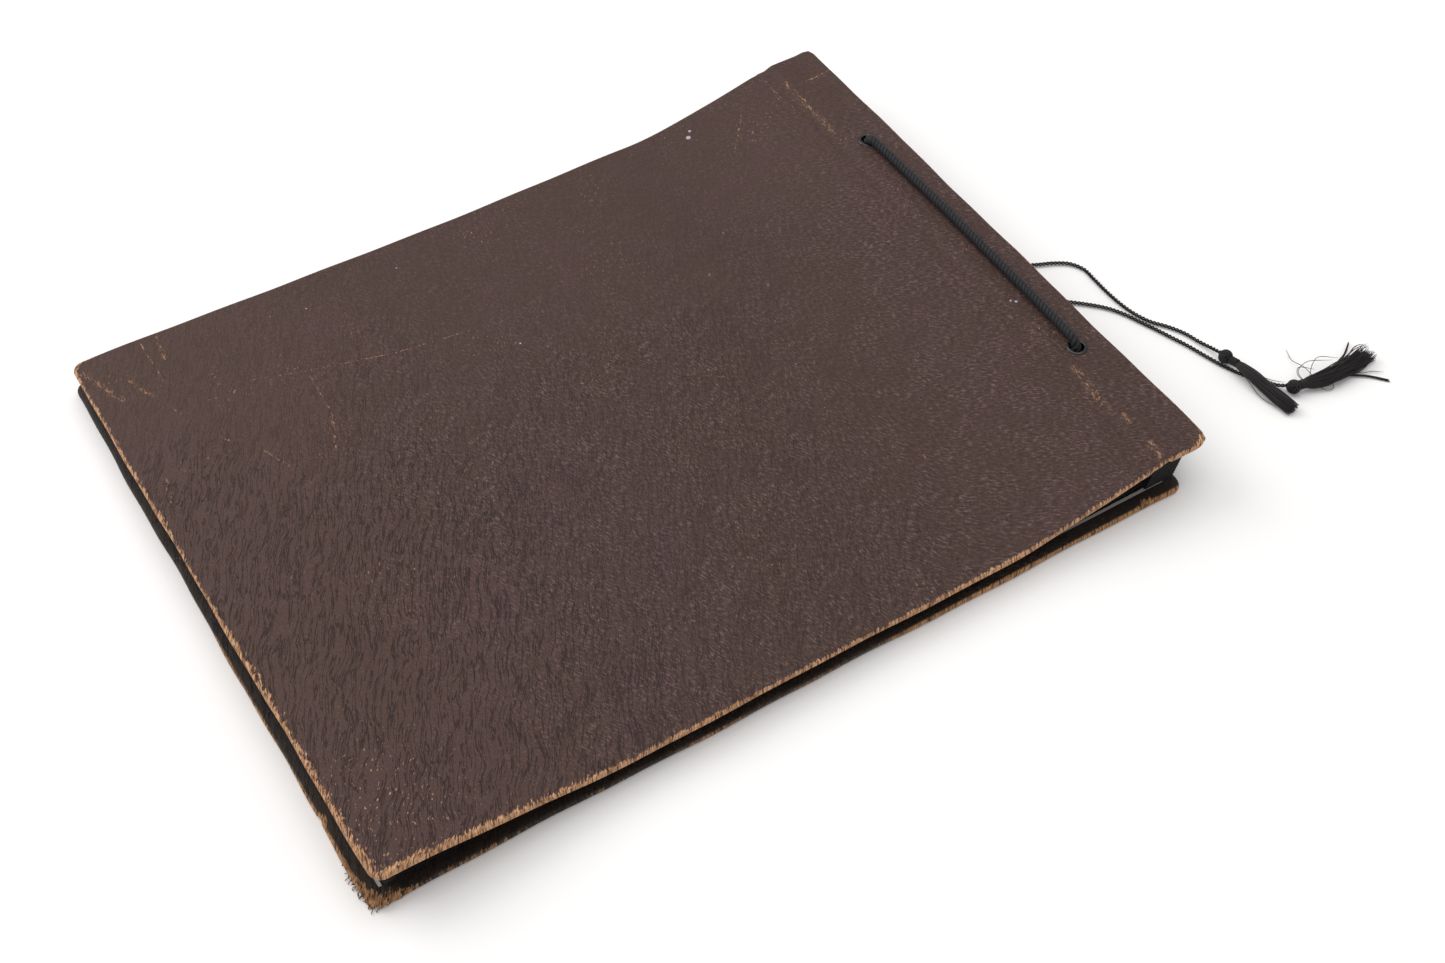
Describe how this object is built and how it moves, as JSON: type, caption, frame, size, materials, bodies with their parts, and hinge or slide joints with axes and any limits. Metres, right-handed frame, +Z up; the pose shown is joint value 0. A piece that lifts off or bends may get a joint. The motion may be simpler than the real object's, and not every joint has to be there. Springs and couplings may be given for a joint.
{
  "type": "cord-bound photo album",
  "caption": "Landscape album: leatherette covers over boards, loose black leaves, eyelets, a thick twisted binding cord and two thin tasselled tails.",
  "frame": {"origin": "on the table under the middle of the covers, without the two loose tails", "axes": "+X to the spine, +Y along the spine, +Z up out of the front cover"},
  "size_m": [0.4562, 0.278, 0.0279],
  "materials": {
    "board": "matte",
    "front_leatherette": "satin",
    "back_leatherette": "satin",
    "lining_paper": "matte",
    "eyelet_enamel": "gloss",
    "spacer_card": "matte",
    "leaf_paper": "matte",
    "thick_cord": "satin",
    "thin_cord": "satin",
    "tassel_thread": "satin"
  },
  "bodies": {
    "binding": {"front_strip_board": "board", "front_strip_covering": "front_leatherette", "front_strip_lining": "lining_paper", "front_hinge_cloth": "front_leatherette", "back_board": "board", "back_covering": "back_leatherette", "back_lining": "lining_paper", "front_eyelets": "eyelet_enamel", "back_eyelets": "eyelet_enamel", "leaf_binding_edges": "leaf_paper", "leaf_spacers": "spacer_card", "leaf_creases": "leaf_paper", "binding_cord": "thick_cord", "under_cord_far": "thin_cord", "under_cord_near": "thin_cord", "cord_knot": "thin_cord", "tail_cord_1": "thin_cord", "tail_cord_2": "thin_cord", "tassel_head_1": "thin_cord", "tassel_head_2": "thin_cord", "tassel_wrap_1": "tassel_thread", "tassel_wrap_2": "tassel_thread", "tassel_skirt_1": "tassel_thread", "tassel_skirt_2": "tassel_thread"},
    "front_cover": {"front_board": "board", "front_covering": "front_leatherette", "front_lining": "lining_paper"},
    "page_01": {"leaf_01": "leaf_paper"},
    "page_02": {"leaf_02": "leaf_paper"},
    "page_03": {"leaf_03": "leaf_paper"},
    "page_04": {"leaf_04": "leaf_paper"},
    "page_05": {"leaf_05": "leaf_paper"},
    "page_06": {"leaf_06": "leaf_paper"},
    "page_07": {"leaf_07": "leaf_paper"},
    "page_08": {"leaf_08": "leaf_paper"},
    "page_09": {"leaf_09": "leaf_paper"},
    "page_10": {"leaf_10": "leaf_paper"},
    "page_11": {"leaf_11": "leaf_paper"},
    "page_12": {"leaf_12": "leaf_paper"},
    "page_13": {"leaf_13": "leaf_paper"},
    "page_14": {"leaf_14": "leaf_paper"},
    "page_15": {"leaf_15": "leaf_paper"},
    "page_16": {"leaf_16": "leaf_paper"}
  },
  "joints": [
    {"name": "front_cover_hinge", "type": "hinge", "parent": "binding", "child": "front_cover", "pos_m": [0.156, 0, 0.02448], "axis": [0, 1, 0], "range_deg": [0, 180], "deforming": ["front_hinge_cloth", "leaf_creases"]},
    {"name": "page_01_turn", "type": "hinge", "parent": "binding", "child": "page_01", "pos_m": [0.156, 0, 0.02448], "axis": [0, 1, 0], "range_deg": [0, 180]},
    {"name": "page_02_turn", "type": "hinge", "parent": "binding", "child": "page_02", "pos_m": [0.156, 0, 0.02448], "axis": [0, 1, 0], "range_deg": [0, 180]},
    {"name": "page_03_turn", "type": "hinge", "parent": "binding", "child": "page_03", "pos_m": [0.156, 0, 0.02448], "axis": [0, 1, 0], "range_deg": [0, 180]},
    {"name": "page_04_turn", "type": "hinge", "parent": "binding", "child": "page_04", "pos_m": [0.156, 0, 0.02448], "axis": [0, 1, 0], "range_deg": [0, 180]},
    {"name": "page_05_turn", "type": "hinge", "parent": "binding", "child": "page_05", "pos_m": [0.156, 0, 0.02448], "axis": [0, 1, 0], "range_deg": [0, 180]},
    {"name": "page_06_turn", "type": "hinge", "parent": "binding", "child": "page_06", "pos_m": [0.156, 0, 0.02448], "axis": [0, 1, 0], "range_deg": [0, 180]},
    {"name": "page_07_turn", "type": "hinge", "parent": "binding", "child": "page_07", "pos_m": [0.156, 0, 0.02448], "axis": [0, 1, 0], "range_deg": [0, 180]},
    {"name": "page_08_turn", "type": "hinge", "parent": "binding", "child": "page_08", "pos_m": [0.156, 0, 0.02448], "axis": [0, 1, 0], "range_deg": [0, 180]},
    {"name": "page_09_turn", "type": "hinge", "parent": "binding", "child": "page_09", "pos_m": [0.156, 0, 0.02448], "axis": [0, 1, 0], "range_deg": [0, 180]},
    {"name": "page_10_turn", "type": "hinge", "parent": "binding", "child": "page_10", "pos_m": [0.156, 0, 0.02448], "axis": [0, 1, 0], "range_deg": [0, 180]},
    {"name": "page_11_turn", "type": "hinge", "parent": "binding", "child": "page_11", "pos_m": [0.156, 0, 0.02448], "axis": [0, 1, 0], "range_deg": [0, 180]},
    {"name": "page_12_turn", "type": "hinge", "parent": "binding", "child": "page_12", "pos_m": [0.156, 0, 0.02448], "axis": [0, 1, 0], "range_deg": [0, 180]},
    {"name": "page_13_turn", "type": "hinge", "parent": "binding", "child": "page_13", "pos_m": [0.156, 0, 0.02448], "axis": [0, 1, 0], "range_deg": [0, 180]},
    {"name": "page_14_turn", "type": "hinge", "parent": "binding", "child": "page_14", "pos_m": [0.156, 0, 0.02448], "axis": [0, 1, 0], "range_deg": [0, 180]},
    {"name": "page_15_turn", "type": "hinge", "parent": "binding", "child": "page_15", "pos_m": [0.156, 0, 0.02448], "axis": [0, 1, 0], "range_deg": [0, 180]},
    {"name": "page_16_turn", "type": "hinge", "parent": "binding", "child": "page_16", "pos_m": [0.156, 0, 0.02448], "axis": [0, 1, 0], "range_deg": [0, 180]}
  ],
  "couplings": [
    {"joint": "page_01_turn", "follows": "front_cover_hinge", "ratio": 0.9909},
    {"joint": "page_02_turn", "follows": "front_cover_hinge", "ratio": 0.9831},
    {"joint": "page_03_turn", "follows": "front_cover_hinge", "ratio": 0.9689},
    {"joint": "page_04_turn", "follows": "front_cover_hinge", "ratio": 0.9433},
    {"joint": "page_05_turn", "follows": "front_cover_hinge", "ratio": 0.8991},
    {"joint": "page_06_turn", "follows": "front_cover_hinge", "ratio": 0.8267},
    {"joint": "page_07_turn", "follows": "front_cover_hinge", "ratio": 0.7186},
    {"joint": "page_08_turn", "follows": "front_cover_hinge", "ratio": 0.5775},
    {"joint": "page_09_turn", "follows": "front_cover_hinge", "ratio": 0.4225},
    {"joint": "page_10_turn", "follows": "front_cover_hinge", "ratio": 0.2814},
    {"joint": "page_11_turn", "follows": "front_cover_hinge", "ratio": 0.1733},
    {"joint": "page_12_turn", "follows": "front_cover_hinge", "ratio": 0.1009},
    {"joint": "page_13_turn", "follows": "front_cover_hinge", "ratio": 0.0567},
    {"joint": "page_14_turn", "follows": "front_cover_hinge", "ratio": 0.0311},
    {"joint": "page_15_turn", "follows": "front_cover_hinge", "ratio": 0.0169},
    {"joint": "page_16_turn", "follows": "front_cover_hinge", "ratio": 0.0091}
  ]
}
